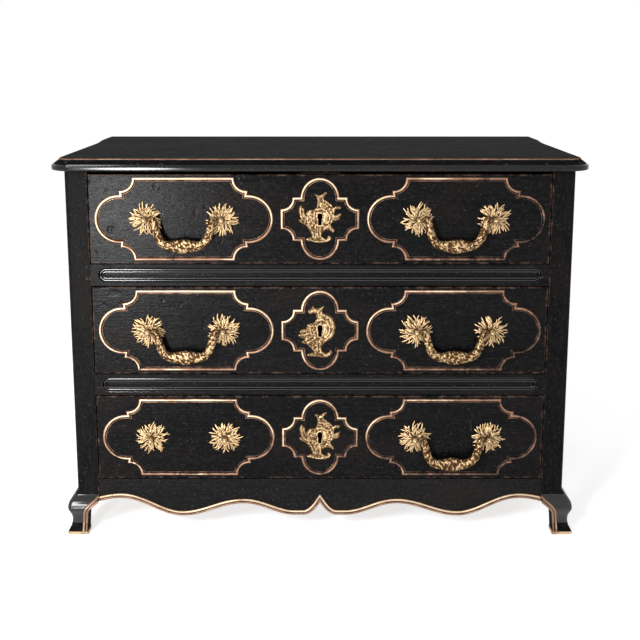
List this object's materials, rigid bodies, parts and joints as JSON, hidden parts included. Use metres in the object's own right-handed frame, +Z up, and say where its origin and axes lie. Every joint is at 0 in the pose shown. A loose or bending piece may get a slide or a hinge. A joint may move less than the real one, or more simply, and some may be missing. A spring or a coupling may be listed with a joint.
{
  "type": "commode chest",
  "caption": "Low ebonised chest with full-width drawers, moulded top, beaded cartouches, gilt bail handles, scalloped apron and scrolled feet.",
  "frame": {"origin": "middle of the whole part's footprint, on the floor under the feet", "axes": "+X to the right of someone who faces the drawers, +Y to the back, +Z up; the drawers open towards -Y"},
  "size_m": [1.1918, 0.612, 0.862],
  "materials": {
    "ebonised_wood": "satin ebonised black, rubbed brown and gold at the arrises",
    "bare_oak": "planed, unfinished",
    "gilt_bronze": "worn gilding",
    "iron": "dark wrought iron"
  },
  "bodies": {
    "case": {"top_board": "ebonised_wood", "front_left_stile": "ebonised_wood", "front_right_stile": "ebonised_wood", "rear_left_stile": "ebonised_wood", "rear_right_stile": "ebonised_wood", "left_side_board": "ebonised_wood", "right_side_board": "ebonised_wood", "back_board": "bare_oak", "upper_rail": "ebonised_wood", "lower_rail": "ebonised_wood", "apron": "ebonised_wood", "front_left_foot": "ebonised_wood", "front_right_foot": "ebonised_wood", "runner_1_left": "bare_oak", "runner_1_right": "bare_oak", "runner_2_left": "bare_oak", "runner_2_right": "bare_oak", "runner_3_left": "bare_oak", "runner_3_right": "bare_oak"},
    "drawer_1": {"drawer_1_front": "ebonised_wood", "drawer_1_left_side": "bare_oak", "drawer_1_right_side": "bare_oak", "drawer_1_back": "bare_oak", "drawer_1_bottom": "bare_oak", "drawer_1_lock": "iron", "drawer_1_escutcheon": "gilt_bronze", "drawer_1_rosette_1": "gilt_bronze", "drawer_1_rosette_2": "gilt_bronze", "drawer_1_rosette_3": "gilt_bronze", "drawer_1_rosette_4": "gilt_bronze"},
    "drawer_1_bolt": {"drawer_1_lock_bolt": "iron"},
    "drawer_1_left_bail": {"drawer_1_left_bail": "gilt_bronze"},
    "drawer_1_right_bail": {"drawer_1_right_bail": "gilt_bronze"},
    "drawer_2": {"drawer_2_front": "ebonised_wood", "drawer_2_left_side": "bare_oak", "drawer_2_right_side": "bare_oak", "drawer_2_back": "bare_oak", "drawer_2_bottom": "bare_oak", "drawer_2_lock": "iron", "drawer_2_escutcheon": "gilt_bronze", "drawer_2_rosette_1": "gilt_bronze", "drawer_2_rosette_2": "gilt_bronze", "drawer_2_rosette_3": "gilt_bronze", "drawer_2_rosette_4": "gilt_bronze"},
    "drawer_2_bolt": {"drawer_2_lock_bolt": "iron"},
    "drawer_2_left_bail": {"drawer_2_left_bail": "gilt_bronze"},
    "drawer_2_right_bail": {"drawer_2_right_bail": "gilt_bronze"},
    "drawer_3": {"drawer_3_front": "ebonised_wood", "drawer_3_left_side": "bare_oak", "drawer_3_right_side": "bare_oak", "drawer_3_back": "bare_oak", "drawer_3_bottom": "bare_oak", "drawer_3_lock": "iron", "drawer_3_escutcheon": "gilt_bronze", "drawer_3_rosette_1": "gilt_bronze", "drawer_3_rosette_2": "gilt_bronze", "drawer_3_rosette_3": "gilt_bronze", "drawer_3_rosette_4": "gilt_bronze"},
    "drawer_3_bolt": {"drawer_3_lock_bolt": "iron"},
    "drawer_3_right_bail": {"drawer_3_right_bail": "gilt_bronze"}
  },
  "joints": [
    {"name": "drawer_1_slide", "type": "slide", "parent": "case", "child": "drawer_1", "axis": [0, -1, 0], "range_m": [0, 0.4]},
    {"name": "drawer_1_bolt_slide", "type": "slide", "parent": "drawer_1", "child": "drawer_1_bolt", "axis": [0, 0, 1], "range_m": [0, 0.009]},
    {"name": "drawer_1_left_bail_swing", "type": "hinge", "parent": "drawer_1", "child": "drawer_1_left_bail", "pos_m": [-0.297, -0.297, 0.7285], "axis": [-1, 0, 0], "range_deg": [0, 95]},
    {"name": "drawer_1_right_bail_swing", "type": "hinge", "parent": "drawer_1", "child": "drawer_1_right_bail", "pos_m": [0.297, -0.297, 0.7285], "axis": [-1, 0, 0], "range_deg": [0, 95]},
    {"name": "drawer_2_slide", "type": "slide", "parent": "case", "child": "drawer_2", "axis": [0, -1, 0], "range_m": [0, 0.4]},
    {"name": "drawer_2_bolt_slide", "type": "slide", "parent": "drawer_2", "child": "drawer_2_bolt", "axis": [0, 0, 1], "range_m": [0, 0.009]},
    {"name": "drawer_2_left_bail_swing", "type": "hinge", "parent": "drawer_2", "child": "drawer_2_left_bail", "pos_m": [-0.297, -0.297, 0.4775], "axis": [-1, 0, 0], "range_deg": [0, 95]},
    {"name": "drawer_2_right_bail_swing", "type": "hinge", "parent": "drawer_2", "child": "drawer_2_right_bail", "pos_m": [0.297, -0.297, 0.4775], "axis": [-1, 0, 0], "range_deg": [0, 95]},
    {"name": "drawer_3_slide", "type": "slide", "parent": "case", "child": "drawer_3", "axis": [0, -1, 0], "range_m": [0, 0.4]},
    {"name": "drawer_3_bolt_slide", "type": "slide", "parent": "drawer_3", "child": "drawer_3_bolt", "axis": [0, 0, 1], "range_m": [0, 0.009]},
    {"name": "drawer_3_right_bail_swing", "type": "hinge", "parent": "drawer_3", "child": "drawer_3_right_bail", "pos_m": [0.297, -0.297, 0.2275], "axis": [-1, 0, 0], "range_deg": [0, 95]}
  ]
}
